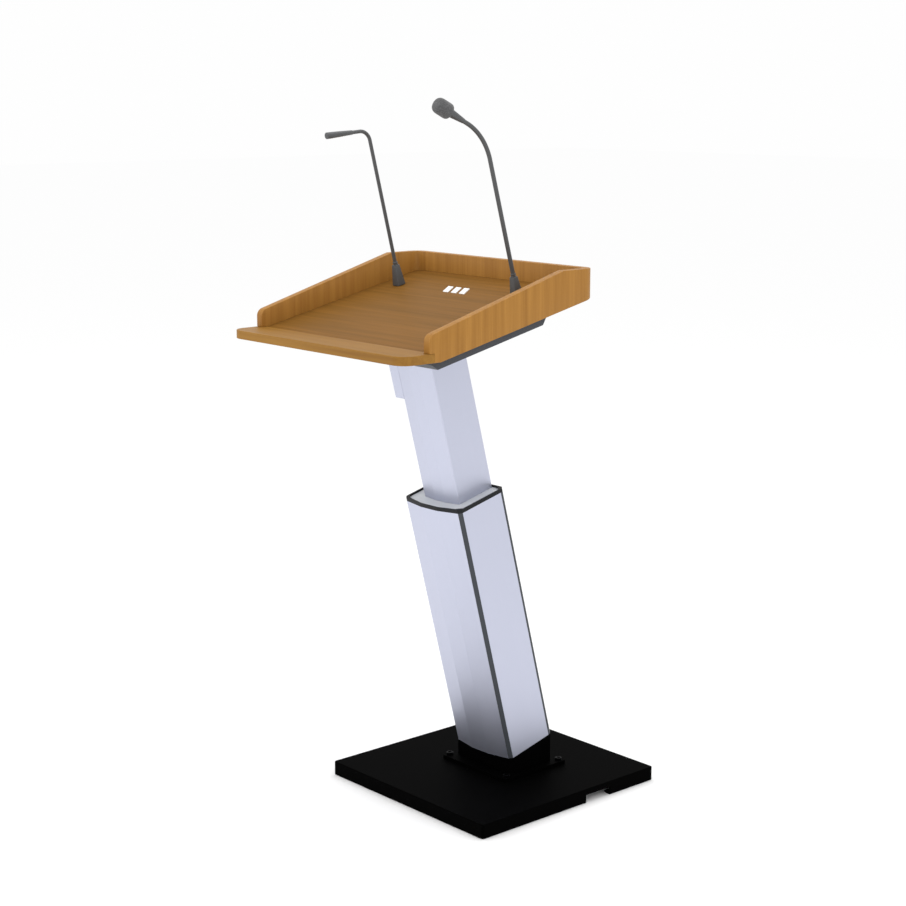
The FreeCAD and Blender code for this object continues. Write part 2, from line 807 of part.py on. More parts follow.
def key_corners(centre, grow="0"):
    """Corners of one key's slanted outline about its centre, grown by an expression."""
    half = f"(key_width / 2 + ({grow}))"
    reach = f"(key_length / 2 + ({grow}))"
    lean = f"(key_skew / 2 * {reach} / (key_length / 2))"
    return [(f"{centre} + {lean} - {half}", f"key_centre_y - {reach}"),
            (f"{centre} + {lean} + {half}", f"key_centre_y - {reach}"),
            (f"{centre} - {lean} + {half}", f"key_centre_y + {reach}"),
            (f"{centre} - {lean} - {half}", f"key_centre_y + {reach}")]


def key_centre(place):
    """Expression for the across coordinate of a key: -1, 0 or 1 from the middle one."""
    return f"key_centre_x + ({place}) * key_pitch"


def build_desk_board():
    """Sloping board with vertical ends, rounded rear corners and the openings for keys and cables."""
    body = new_body()
    ends = [(slope_at(LEDGE_BACK, "board_recess"), "board_recess"),
            (slope_at("tray_back - wall_thickness - joint_gap", "board_recess"), "board_recess"),
            (slope_at("tray_back - wall_thickness - joint_gap", BOARD_TOP), BOARD_TOP),
            (slope_at(LEDGE_BACK, BOARD_TOP), BOARD_TOP)]
    pad(body, polygon(sketch_on(body, "YZ_Plane"), ends), f"2 * ({INNER_SIDE} - joint_gap)", symmetric=True)
    desk = math.radians(value("desk_angle"))
    upright = Vector(0, math.sin(desk), math.cos(desk))
    fillet(body, "tray_corner - wall_thickness",
           lambda edge: runs_along(edge, upright) and edge.BoundBox.YMin > -value("tray_corner"))
    for place in (-1, 0, 1):
        opening = sketch_on(body, offset=f"{BOARD_TOP} + 1")
        polygon(opening, key_corners(key_centre(place), "key_gap"))
        pocket(body, opening, "board_thickness + 2")
    cables = sketch_on(body, offset=f"{BOARD_TOP} + 1")
    circle(cables, "lamp_x", "lamp_y", "cable_radius")
    circle(cables, "mic_x", "mic_y", "cable_radius")
    pocket(body, cables, "board_thickness + 2")
    pilots = sketch_on(body, offset="board_recess")
    for x, slope in bracket_screw_spots() + cover_screw_spots():
        circle(pilots, str(x), str(slope), "screw_radius + 0.1")
    pocket(body, pilots, "12", reverse=True)
    keep(body, "desk_board", desk_frame())


def build_book_ledge():
    """Level ledge in front of the walls, with rounded front corners."""
    body = new_body()
    outline = rectangle(sketch_on(body, offset="ledge_bottom"), "-tray_half_width", "tray_half_width",
                        "tray_front", f"{LEDGE_BACK} - joint_gap")
    pad(body, outline, "board_thickness")
    front = value("tray_front") + 0.1
    fillet(body, "ledge_corner", lambda edge: runs_along(edge, Z_AXIS) and edge.Vertexes[0].Y < front)
    fillet(body, "edge_round", lambda edge: runs_along(edge, X_AXIS) and edge.Vertexes[0].Y < front)
    keep(body, "book_ledge")


def build_side_walls():
    """Side walls that rise from the ledge to the rear, with a rounded nose."""
    crease = f"(tray_back - (desk_level - ledge_bottom) / {DESK_TAN})"
    step = f"{LEDGE_BACK}"
    rise = "tan(wall_angle * 1 deg)"
    level_end = "(tray_back - 93)"
    nose_z = f"(wall_top - ({level_end} - wall_front) * {rise})"
    corners = [(CORNER_START, desk_z(CORNER_START)), (crease, "ledge_bottom"), (step, "ledge_bottom"),
               (step, f"{LEDGE_TOP} + joint_gap"), ("wall_front", f"{LEDGE_TOP} + joint_gap"),
               ("wall_front", nose_z), (level_end, "wall_top"), (CORNER_START, "wall_top")]
    for node, offset in (("side_wall_left", "-tray_half_width"), ("side_wall_right", INNER_SIDE)):
        body = new_body()
        pad(body, polygon(sketch_on(body, "YZ_Plane", offset), corners), "wall_thickness")
        nose = value("wall_front") + 0.1
        fillet(body, "wall_nose", lambda edge: runs_along(edge, X_AXIS) and edge.Vertexes[0].Y < nose
               and edge.Vertexes[0].Z > value("ledge_bottom") + value("board_thickness") + 10)
        keep(body, node)


def build_back_wall():
    """Rear wall between the rounded corners."""
    body = new_body()
    front = "tray_back - wall_thickness"
    outline = polygon(sketch_on(body, "YZ_Plane"), [(front, desk_z(front)), ("tray_back", "desk_level"),
                                                    ("tray_back", "wall_top"), (front, "wall_top")])
    pad(body, outline, "2 * (tray_half_width - tray_corner)", symmetric=True)
    keep(body, "back_wall")


def build_rear_corners():
    """Quarter-round corner pieces that join the rear wall to the side walls."""
    radius = value("tray_corner")
    low = value("desk_level") - 40
    for node, sx in (("rear_corner_left", -1), ("rear_corner_right", 1)):
        turn = Rotation(Z_AXIS, 90 if sx < 0 else 0)
        centre = at(sx * (value("tray_half_width") - radius), value("tray_back") - radius, low, turn)
        outer = bind(cylinder("tray_corner", f"wall_top - {low}", centre), Angle="90")
        inner = bind(cylinder("tray_corner - wall_thickness", f"wall_top - {low}", centre), Angle="90")
        below = box("2 * tray_half_width", "400", "100",
                    desk_frame(-value("tray_half_width"), -300, -100))
        keep(cut(cut(outer, inner), below), node)


def build_desk_bracket():
    """Steel plate under the desk with the wedge block that caps the sliding profile."""
    body = new_body()
    plate = rectangle(sketch_on(body), "-bracket_width / 2", "bracket_width / 2", "-bracket_depth / 2",
                      "bracket_depth / 2")
    pad(body, plate, "bracket_thickness", reverse=True)
    tip = "(lean_angle - desk_angle)"
    tip_sin = f"sin({tip} * 1 deg)"
    tip_cos = f"cos({tip} * 1 deg)"
    corners = []
    for reach, drop in (("-wedge_reach", None), ("-wedge_reach", 1), ("(wedge_reach + 26)", 1),
                        ("(wedge_reach + 26)", None)):
        along = f"wedge_height * {tip_sin} + {reach} * {tip_cos}"
        height = f"-wedge_height * {tip_cos} + {reach} * {tip_sin}" if drop else "-bracket_thickness + 1"
        corners.append((along, height))
    pad(body, polygon(sketch_on(body, "YZ_Plane"), corners), "2 * wedge_half_width", symmetric=True)
    holes = sketch_on(body, offset="1")
    for sx, sy in signs():
        circle(holes, f"{sx} * (bracket_width / 2 - 14)", f"{sy} * (bracket_depth / 2 - 14)",
               "screw_radius + 0.3")
    pocket(body, holes, "bracket_thickness + 2")
    keep(body, "desk_bracket", desk_frame(0, bracket_slope(), value("board_recess")))


def build_bracket_screws():
    """Four screws that hold the bracket to the desk board."""
    under = value("board_recess") - value("bracket_thickness")
    screws = []
    for x, slope in bracket_screw_spots():
        head = cylinder("screw_head", "3", desk_frame(x, slope, under - 3))
        shank = cylinder("screw_radius", "bracket_thickness + 11", desk_frame(x, slope, under))
        screws.append(fuse(head, shank))
    keep(group(*screws), "bracket_screws")


def build_cover():
    """Shallow steel cover below the desk, with slanted ends and the opening for the column."""
    body = new_body()
    shoulder = "(cover_depth / 3)"
    outer = [("cover_front", "board_recess"), ("cover_front", f"-{shoulder}"),
             ("cover_front + cover_slant", "-cover_depth"), ("cover_back - cover_slant", "-cover_depth"),
             ("cover_back", f"-{shoulder}"), ("cover_back", "board_recess")]
    pad(body, polygon(sketch_on(body, "YZ_Plane"), outer), "2 * cover_half_width", symmetric=True)
    front = "cover_front + cover_wall"
    back = "cover_back - cover_wall"
    floor = "-cover_depth + cover_wall"
    inner = [(front, "board_recess + 1"), (front, f"-{shoulder} + 0.5"),
             (f"{front} + cover_slant - 1", floor), (f"{back} - cover_slant + 1", floor),
             (back, f"-{shoulder} + 0.5"), (back, "board_recess + 1")]
    pocket(body, polygon(sketch_on(body, "YZ_Plane"), inner), "2 * (cover_half_width - cover_wall)",
           symmetric=True)
    middle = bracket_slope()
    opening = rectangle(sketch_on(body, offset="-cover_depth + cover_wall + 1"), "-cover_opening",
                        "cover_opening", str(middle - 46), str(middle + 68))
    pocket(body, opening, "cover_wall + 2")
    holes = sketch_on(body, offset="-cover_depth + cover_wall + 1")
    for x, slope in cover_screw_spots():
        circle(holes, str(x), str(slope), "screw_radius + 0.3")
    pocket(body, holes, "cover_wall + 2")
    keep(body, "desk_cover", desk_frame())


def build_cover_fixings():
    """Screws of the cover and the spacers that they pass through."""
    floor = value("cover_wall") - value("cover_depth")
    screws = []
    spacers = []
    for x, slope in cover_screw_spots():
        head = cylinder("screw_head", "2", desk_frame(x, slope, floor - value("cover_wall") - 2))
        shank = cylinder("screw_radius", "cover_depth + board_recess + 11",
                         desk_frame(x, slope, floor - value("cover_wall")))
        screws.append(fuse(head, shank))
        tube = cylinder("spacer_radius", "cover_depth - cover_wall + board_recess",
                        desk_frame(x, slope, floor))
        bore = cylinder("screw_radius + 0.2", "cover_depth + board_recess", desk_frame(x, slope, floor))
        spacers.append(cut(tube, bore))
    keep(group(*screws), "cover_screws")
    keep(group(*spacers), "cover_spacers")


def build_keys():
    """Three slanted keys through the desk board."""
    low = value("board_recess") + value("board_thickness") + value("key_proud") - value("key_height")
    for node, place in (("key_raise", -1), ("key_lower", 0), ("key_light", 1)):
        body = new_body()
        pad(body, polygon(sketch_on(body), key_corners(key_centre(place))), "key_height")
        fillet(body, 0.6, lambda edge: edge.BoundBox.ZMin > value("key_height") - 0.01)
        keep(body, node, desk_frame(0, 0, low))


def build_switch_module():
    """Switch housing under the keys, just behind the cover."""
    low = value("board_recess") - value("switch_height")
    across = value("key_centre_x") - value("switch_width") / 2
    slope = value("key_centre_y") - 16
    housing = box("switch_width", "switch_depth", "switch_height")
    keep(housing, "switch_module", desk_frame(across, slope, low))


# --- goosenecks -----------------------------------------------------------------------------------

ARC_TURN = Rotation(Vector(0, 1, 0), Vector(0, 0, 1), Vector(1, 0, 0), "XYZ")


def gooseneck_root(kind):
    """Placement on top of a gooseneck's foot, its Z axis along the straight stem."""
    surface = value("board_recess") + value("board_thickness")
    top = desk_frame(value(f"{kind}_x"), value(f"{kind}_y"), surface + value("foot_height")).Base
    return Placement(top, Rotation(X_AXIS, value(f"{kind}_lean")))


def hinge_height(kind):
    """Height of the stem's lower ball above the foot."""
    return 2 * value("ferrule_gap") + value("ferrule_height") + value(f"{kind}_radius")


def build_gooseneck_foot(kind):
    """Tapered square foot that stands on the desk."""
    body = new_body()
    base = rectangle(sketch_on(body), "-foot_base / 2", "foot_base / 2", "-foot_base / 2", "foot_base / 2")
    column = pad(body, base, "foot_height")
    column.setExpression("TaperAngle", bound("-atan((foot_base - foot_top) / 2 / foot_height)"))
    doc.recompute()
    surface = value("board_recess") + value("board_thickness")
    keep(body, f"{kind}_foot", desk_frame(value(f"{kind}_x"), value(f"{kind}_y"), surface))


def build_gooseneck_stem(kind):
    """Ferrule on the foot, and the straight stem whose lower end is a ball."""
    root = gooseneck_root(kind)
    hinge = hinge_height(kind)
    ferrule = cylinder("ferrule_radius", "ferrule_height", root * at(0, 0, value("ferrule_gap")))
    keep(ferrule, f"{kind}_ferrule")
    length = f"{kind}_straight - {hinge} - {kind}_radius - ferrule_gap"
    shaft = cylinder(f"{kind}_radius", length, root * at(0, 0, hinge))
    ball = sphere(f"{kind}_radius", root * at(0, 0, hinge))
    keep(fuse(ball, shaft), f"{kind}_stem")


def build_gooseneck_neck(kind):
    """Bent neck: a ball at the stem's end, an arc, and a short straight run. Returns its end."""
    start = gooseneck_root(kind) * at(0, 0, value(f"{kind}_straight"))
    bend = value(f"{kind}_bend")
    ball = sphere(f"{kind}_radius", start)
    arc = bind(doc.addObject("Part::Torus", "Torus"), Radius1=f"{kind}_bend", Radius2=f"{kind}_radius",
               Angle3=f"{kind}_turn")
    arc.Placement = start * at(0, -bend, 0, ARC_TURN)
    turn = math.radians(value(f"{kind}_turn"))
    end = start * at(0, bend * (math.cos(turn) - 1), bend * math.sin(turn),
                     Rotation(X_AXIS, value(f"{kind}_turn")))
    run = cylinder(f"{kind}_radius", f"{kind}_neck", end)
    keep(fuse(ball, arc, run), f"{kind}_neck_tube")
    return end * at(0, 0, value(f"{kind}_neck"))


def build_lamp_head(start):
    """Slim tapering lamp head with its light window on the underside."""
    shell = cone("lamp_radius", "lamp_head_radius", "lamp_head_length", start)
    low = value("lamp_head_length") - value("lens_length") - 6
    inner = value("lamp_head_radius") - value("lens_depth") - 2.2
    slot = box("lens_width", "10", "lens_length", start * at(-value("lens_width") / 2, -inner - 10, low))
    keep(cut(shell, slot), "lamp_head")
    lens = box("lens_width - 0.2", "lens_depth", "lens_length - 0.2",
               start * at(0.1 - value("lens_width") / 2, -inner - value("lens_depth"), low + 0.1))
    keep(lens, "lamp_lens")


def build_microphone(start):
    """Capsule cone and the foam windshield over it."""
    taper = cone("mic_radius", "capsule_radius", "capsule_cone", start)
    nose = cylinder("capsule_radius", "capsule_front", start * at(0, 0, value("capsule_cone")))
    keep(fuse(taper, nose), "mic_capsule")
    body = new_body()
    sketch = circle(sketch_on(body), "0", "0", "foam_radius")
    pad(body, sketch, "foam_length")
    fillet(body, "foam_round", lambda edge: edge.BoundBox.ZMin > value("foam_length") - 0.01)
    fillet(body, 2, lambda edge: edge.BoundBox.ZMax < 0.01)
    bore = circle(sketch_on(body), "0", "0", "capsule_radius + 0.1")
    pocket(body, bore, "capsule_front + 0.1", reverse=True)
    keep(body, "mic_windshield", start * at(0, 0, value("capsule_cone")))


def build_all():
    """Every sub-part of the lectern."""
    build_base_pan()
    build_ballast_plate()
    build_rubber_strip()
    build_foot_casting()
    build_foot_bolts()
    build_front_panel()
    build_side_panels()
    build_back_panel()
    build_corner_posts()
    build_rim_collar()
    build_collar_bush()
    build_guide_rails()
    build_power_inlet()
    build_lift_motor()
    build_gearbox()
    build_actuator_rod()
    build_upper_profile()
    build_glide_shoes()
    build_control_box()
    build_desk_board()
    build_book_ledge()
    build_side_walls()
    build_back_wall()
    build_rear_corners()
    build_desk_bracket()
    build_bracket_screws()
    build_cover()
    build_cover_fixings()
    build_keys()
    build_switch_module()
    for kind in ("lamp", "mic"):
        build_gooseneck_foot(kind)
        build_gooseneck_stem(kind)
    build_lamp_head(build_gooseneck_neck("lamp"))
    build_microphone(build_gooseneck_neck("mic"))


def write_parts():
    """Check every object and write each sub-part to its own file."""
    doc.recompute()
    failed = [item.Label for item in doc.Objects if {"Invalid", "Error"} & set(item.State)]
    failed += [item.Label for item in NODES if item.Shape.isNull() or not item.Shape.isValid()]
    if failed:
        raise RuntimeError(f"failed objects: {failed}")
    os.makedirs("parts", exist_ok=True)
    for item in NODES:
        item.Shape.exportStep(f"parts/{item.Label}.step")
        print(f"{item.Label}: {item.Shape.Volume / 1000:.1f} cm3, {len(item.Shape.Solids)} solid(s)")


build_all()
write_parts()
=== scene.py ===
"""Looks of a height-adjustable lectern: oak tray, anodised column, steel base and two goosenecks."""

import json
import logging
import math
from dataclasses import dataclass, field
from enum import Enum
from typing import Callable, Iterable, Optional

import bmesh
import bpy
from bpy.types import Material, Node, NodeSocket, NodeTree, Object
from mathutils import Matrix, Vector


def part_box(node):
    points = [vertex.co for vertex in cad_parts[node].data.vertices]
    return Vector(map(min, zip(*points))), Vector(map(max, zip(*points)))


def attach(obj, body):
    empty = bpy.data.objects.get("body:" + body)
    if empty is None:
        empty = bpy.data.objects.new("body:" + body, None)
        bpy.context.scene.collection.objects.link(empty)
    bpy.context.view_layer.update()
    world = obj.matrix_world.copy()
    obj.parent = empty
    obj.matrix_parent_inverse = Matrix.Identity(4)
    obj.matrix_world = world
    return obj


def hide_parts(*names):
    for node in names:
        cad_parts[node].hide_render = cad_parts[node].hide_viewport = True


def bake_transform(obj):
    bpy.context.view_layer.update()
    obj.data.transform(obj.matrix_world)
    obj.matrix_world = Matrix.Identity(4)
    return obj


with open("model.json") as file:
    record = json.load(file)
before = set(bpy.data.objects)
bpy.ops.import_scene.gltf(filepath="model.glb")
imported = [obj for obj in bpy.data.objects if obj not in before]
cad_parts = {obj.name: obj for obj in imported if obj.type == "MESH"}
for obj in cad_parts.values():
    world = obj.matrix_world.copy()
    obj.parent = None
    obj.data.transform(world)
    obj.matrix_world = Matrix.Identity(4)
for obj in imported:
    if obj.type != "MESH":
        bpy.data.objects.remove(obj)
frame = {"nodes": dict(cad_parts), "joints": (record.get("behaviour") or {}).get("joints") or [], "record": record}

LOG = logging.getLogger("lectern")
MM = 0.001
WELD = 0.01 * MM
NEAR = 0.1 * MM
DESK_SLOPE = 12.66
COLUMN_LEAN = 14.54
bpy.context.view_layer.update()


# --- colours and nodes ------------------------------------------------------------------------------

def linear(shade: str, alpha: float = 1.0) -> tuple[float, float, float, float]:
    """Turn an sRGB hex colour to linear light.

    Args:
        shade: Colour as "#rrggbb".
        alpha: Opacity to put after it.

    Returns:
        The linear red, green, blue and alpha.
    """
    parts = [int(shade[i:i + 2], 16) / 255 for i in (1, 3, 5)]
    light = [c / 12.92 if c <= 0.04045 else ((c + 0.055) / 1.055) ** 2.4 for c in parts]
    return (light[0], light[1], light[2], alpha)


def add_node(tree: NodeTree, kind: str, settings: Optional[dict] = None,
             links: Optional[dict] = None) -> Node:
    """Add a shader node, set its values and wire its inputs.

    Args:
        tree: Node tree of the material.
        kind: Node type.
        settings: Values by input name or number, or by the node's own property name.
        links: Output sockets by input name or number.

    Returns:
        The new node.
    """
    node = tree.nodes.new(kind)
    for name, value in (settings or {}).items():
        if isinstance(name, int) or name in node.inputs:
            node.inputs[name].default_value = value
        else:
            setattr(node, name, value)
    for name, source in (links or {}).items():
        tree.links.new(source, node.inputs[name])
    return node


class Grain(Enum):
    """Direction in which a surface's lines run."""

    ACROSS = (0.0, 0)
    UPRIGHT = (0.0, 2)
    UP_COLUMN = (COLUMN_LEAN, 2)

    @property
    def tilt(self) -> float:
        """Turn about X, in radians, that lines the pattern up with its part."""
        return math.radians(self.value[0])

    def cell(self, wide: float, long: float) -> tuple[float, float, float]:
        """Pattern cell that is long in the grain's direction.

        Args:
            wide: Size across the grain, in millimetres.
            long: Size along the grain, in millimetres.

        Returns:
            The cell's sides in metres.
        """
        sides = [wide * MM] * 3
        sides[self.value[1]] = long * MM
        return (sides[0], sides[1], sides[2])


@dataclass(frozen=True)
class Finish:
    """What every finish shares: a name, a colour and how its gloss behaves."""

    name: str
    shade: str
    roughness: float = 0.5
    specular: float = 0.5

    def start(self) -> tuple[Material, NodeTree, Node]:
        """Make the material with its surface shader.

        Returns:
            The material, its node tree and the surface node.
        """
        material = bpy.data.materials.new(self.name)
        material.use_nodes = True
        tree = material.node_tree
        tree.nodes.clear()
        surface = add_node(tree, "ShaderNodeBsdfPrincipled", {
            "Base Color": linear(self.shade), "Roughness": self.roughness,
            "Specular IOR Level": self.specular})
        add_node(tree, "ShaderNodeOutputMaterial", links={"Surface": surface.outputs["BSDF"]})
        material.diffuse_color = linear(self.shade)
        return material, tree, surface

    def cells(self, tree: NodeTree, size: tuple[float, float, float], tilt: float = 0.0) -> NodeSocket:
        """Object coordinates divided into cells of a real size.

        Args:
            tree: Node tree of the material.
            size: Cell size in metres.
            tilt: Turn about X, in radians.

        Returns:
            The vector to feed a pattern with.
        """
        place = add_node(tree, "ShaderNodeTexCoord")
        mapping = add_node(tree, "ShaderNodeMapping",
                           {"vector_type": "TEXTURE", "Rotation": (tilt, 0, 0), "Scale": size},
                           {"Vector": place.outputs["Object"]})
        return mapping.outputs["Vector"]

    def build(self) -> Material:
        """Plain version of the finish."""
        return self.start()[0]


@dataclass(frozen=True)
class OakVeneer(Finish):
    """Sliced oak veneer under satin lacquer: long tonal bands, fine dark pores and a soft sheen."""

    dark: str = "#7d5526"
    grain: Grain = Grain.ACROSS

    def build(self) -> Material:
        """Two tones along the grain, pores across it and a lacquer coat."""
        material, tree, surface = self.start()
        # Bands of earlier and later wood, about 14 mm wide.
        band = add_node(tree, "ShaderNodeTexNoise", {"Scale": 1.0, "Detail": 3.0, "Roughness": 0.55},
                        {"Vector": self.cells(tree, self.grain.cell(14, 420), self.grain.tilt)})
        # Streaks about 2.5 mm wide: real pores are 0.3 mm, which is too fine to show.
        streak = add_node(tree, "ShaderNodeTexNoise", {"Scale": 1.0, "Detail": 4.0, "Roughness": 0.6},
                          {"Vector": self.cells(tree, self.grain.cell(2.5, 120), self.grain.tilt)})
        mixed = add_node(tree, "ShaderNodeMath", {"operation": "MULTIPLY_ADD", 1: 0.45},
                         {0: streak.outputs["Fac"], 2: band.outputs["Fac"]})
        tone = add_node(tree, "ShaderNodeMapRange", {"From Min": 0.5, "From Max": 0.95},
                        {"Value": mixed.outputs["Value"]})
        colour = add_node(tree, "ShaderNodeMix", {"data_type": "RGBA", 6: linear(self.dark),
                                                  7: linear(self.shade)}, {0: tone.outputs["Result"]})
        tree.links.new(colour.outputs[2], surface.inputs["Base Color"])
        bump = add_node(tree, "ShaderNodeBump", {"Strength": 0.12, "Distance": 0.0002},
                        {"Height": streak.outputs["Fac"]})
        tree.links.new(bump.outputs["Normal"], surface.inputs["Normal"])
        surface.inputs["Coat Weight"].default_value = 0.03
        surface.inputs["Coat Roughness"].default_value = 0.3
        return material


@dataclass(frozen=True)
class AnodisedAluminium(Finish):
    """Extruded, etched and anodised aluminium: satin metal with faint die lines along its length."""

    grain: Grain = Grain.UP_COLUMN

    def build(self) -> Material:
        """Metal whose gloss varies a little in lines along the extrusion."""
        material, tree, surface = self.start()
        surface.inputs["Metallic"].default_value = 1.0
        # Die lines about 1.5 mm apart and half a metre long.
        lines = add_node(tree, "ShaderNodeTexNoise", {"Scale": 1.0, "Detail": 2.0},
                         {"Vector": self.cells(tree, self.grain.cell(1.5, 500), self.grain.tilt)})
        gloss = add_node(tree, "ShaderNodeMapRange", {"To Min": self.roughness - 0.03,
                                                      "To Max": self.roughness + 0.04},
                         {"Value": lines.outputs["Fac"]})
        tree.links.new(gloss.outputs["Result"], surface.inputs["Roughness"])
        # Etched skin: grit about 0.8 mm, far coarser than the real one so that it shows.
        grit = add_node(tree, "ShaderNodeTexNoise", {"Scale": 1.0, "Detail": 2.0},
                        {"Vector": self.cells(tree, (0.8 * MM,) * 3)})
        bump = add_node(tree, "ShaderNodeBump", {"Strength": 0.05, "Distance": 0.0001},
                        {"Height": grit.outputs["Fac"]})
        tree.links.new(bump.outputs["Normal"], surface.inputs["Normal"])
        return material


@dataclass(frozen=True)
class PowderCoat(Finish):
    """Baked powder coat on steel: a fine orange-peel skin that softens the highlights."""

    peel: float = 1.2
    depth: float = 0.15

    def build(self) -> Material:
        """Even colour with orange peel in the bump and a little in the gloss."""
        material, tree, surface = self.start()
        skin = add_node(tree, "ShaderNodeTexNoise", {"Scale": 1.0, "Detail": 2.0},
                        {"Vector": self.cells(tree, (self.peel * MM,) * 3)})
        gloss = add_node(tree, "ShaderNodeMapRange", {"To Min": self.roughness - 0.05,
                                                      "To Max": self.roughness + 0.05},
                         {"Value": skin.outputs["Fac"]})
        tree.links.new(gloss.outputs["Result"], surface.inputs["Roughness"])
        bump = add_node(tree, "ShaderNodeBump", {"Strength": self.depth, "Distance": 0.0002},
                        {"Height": skin.outputs["Fac"]})
        tree.links.new(bump.outputs["Normal"], surface.inputs["Normal"])
        return material


@dataclass(frozen=True)
class GroundSteel(Finish):
    """Turned, ground or plated steel: bright metal with cloudy variation in its gloss."""

    def build(self) -> Material:
        """Metal with patchy roughness."""
        material, tree, surface = self.start()
        surface.inputs["Metallic"].default_value = 1.0
        cloud = add_node(tree, "ShaderNodeTexNoise", {"Scale": 1.0, "Detail": 3.0},
                         {"Vector": self.cells(tree, (6 * MM,) * 3)})
        gloss = add_node(tree, "ShaderNodeMapRange", {"To Min": self.roughness - 0.08,
                                                      "To Max": self.roughness + 0.08},
                         {"Value": cloud.outputs["Fac"]})
        tree.links.new(gloss.outputs["Result"], surface.inputs["Roughness"])
        return material


@dataclass(frozen=True)
class MouldedPlastic(Finish):
    """Injection-moulded ABS or nylon from a spark-eroded tool: fine even grain and a soft gloss."""

    texture: float = 0.6

    def build(self) -> Material:
        """Even colour with a fine moulded grain in the bump."""
        material, tree, surface = self.start()
        grain = add_node(tree, "ShaderNodeTexNoise", {"Scale": 1.0, "Detail": 3.0},
                         {"Vector": self.cells(tree, (self.texture * MM,) * 3)})
        bump = add_node(tree, "ShaderNodeBump", {"Strength": 0.1, "Distance": 0.0001},
                        {"Height": grain.outputs["Fac"]})
        tree.links.new(bump.outputs["Normal"], surface.inputs["Normal"])
        return material


@dataclass(frozen=True)
class AcousticFoam(Finish):
    """Open-cell polyurethane foam, ground to shape: matte and pitted, with painted shade in its pits that leaves
    its high spots lighter.
    """

    painted_pit_shade: str = "#4a4a4b"
    pore: float = 2.2

    def build(self) -> Material:
        """Cells that sink between the struts, where painted shade darkens them."""
        material, tree, surface = self.start()
        cells = add_node(tree, "ShaderNodeTexVoronoi", {"Scale": 1.0, "feature": "SMOOTH_F1"},
                         {"Vector": self.cells(tree, (self.pore * MM,) * 3)})
        # The colour follows the cells' depth and is darker towards the pits: painted shade.
        tone = add_node(tree, "ShaderNodeMapRange", {"From Min": 0.15, "From Max": 0.8},
                        {"Value": cells.outputs["Distance"]})
        colour = add_node(tree, "ShaderNodeMix", {"data_type": "RGBA", 6: linear(self.painted_pit_shade),
                                                  7: linear(self.shade)}, {0: tone.outputs["Result"]})
        tree.links.new(colour.outputs[2], surface.inputs["Base Color"])
        bump = add_node(tree, "ShaderNodeBump", {"Strength": 0.6, "Distance": 0.0008},
                        {"Height": cells.outputs["Distance"]})
        tree.links.new(bump.outputs["Normal"], surface.inputs["Normal"])
        surface.inputs["Sheen Weight"].default_value = 0.25
        return material


FINISHES: dict[str, Finish] = {
    "black_steel": PowderCoat("black_powder_coated_steel", "#020202", roughness=0.6, specular=0.008),
    "ballast_steel": PowderCoat("primed_steel_plate", "#2a2a2b", roughness=0.7, specular=0.2, peel=2.0),
    "black_rubber": MouldedPlastic("moulded_black_rubber", "#121212", roughness=0.85, specular=0.2),
    "black_screws": GroundSteel("black_oxide_steel", "#08080a", roughness=0.62),
    "satin_aluminium": AnodisedAluminium("satin_anodised_aluminium", "#c4c7d7", roughness=0.48),
    "graphite_aluminium": PowderCoat("graphite_coated_aluminium", "#3d4045", roughness=0.45,
                                     specular=0.25),
    "dark_rim": PowderCoat("charcoal_coated_aluminium", "#1d1e20", roughness=0.5, specular=0.15),
    "light_polymer": MouldedPlastic("moulded_grey_nylon", "#c9cdd2", roughness=0.45),
    "black_polymer": MouldedPlastic("moulded_black_abs", "#151516", roughness=0.5, specular=0.3),
    "mill_aluminium": AnodisedAluminium("mill_finish_aluminium", "#b4b6b8", roughness=0.42),
    "bright_steel": GroundSteel("ground_steel_rod", "#c4c4c6", roughness=0.2),
    "zinc_screws": GroundSteel("zinc_plated_steel", "#a9aaa8", roughness=0.35),
    "anthracite_steel": PowderCoat("anthracite_powder_coated_steel", "#43454a", roughness=0.5,
                                   specular=0.25),
    "silver_keys": MouldedPlastic("silver_white_lacquered_abs", "#f4f5f6", roughness=0.3, texture=1.2),
    "gunmetal": PowderCoat("gunmetal_coated_tube", "#4c4d4e", roughness=0.42, specular=0.4, peel=0.8),
    "lamp_diffuser": MouldedPlastic("opal_acrylic", "#efece0", roughness=0.35, texture=1.5),
    "grey_foam": AcousticFoam("open_cell_foam", "#626263", roughness=0.95, specular=0.1),
    # One oak in three shades set by where the light falls: the desk's darker shade is painted shade, and the
    # walls' and ledge's lighter shades are painted light.
    "oak_desk": OakVeneer("lacquered_oak_veneer_desk", "#845b27", roughness=0.5, specular=0.05,
                          dark="#704e1f"),
    "oak_wall": OakVeneer("lacquered_oak_veneer_wall", "#a87837", roughness=0.48, specular=0.16,
                          dark="#94662b", grain=Grain.UPRIGHT),
    "oak_ledge": OakVeneer("lacquered_oak_veneer_ledge", "#986e2e", roughness=0.48, specular=0.14,
                           dark="#845c25"),
}


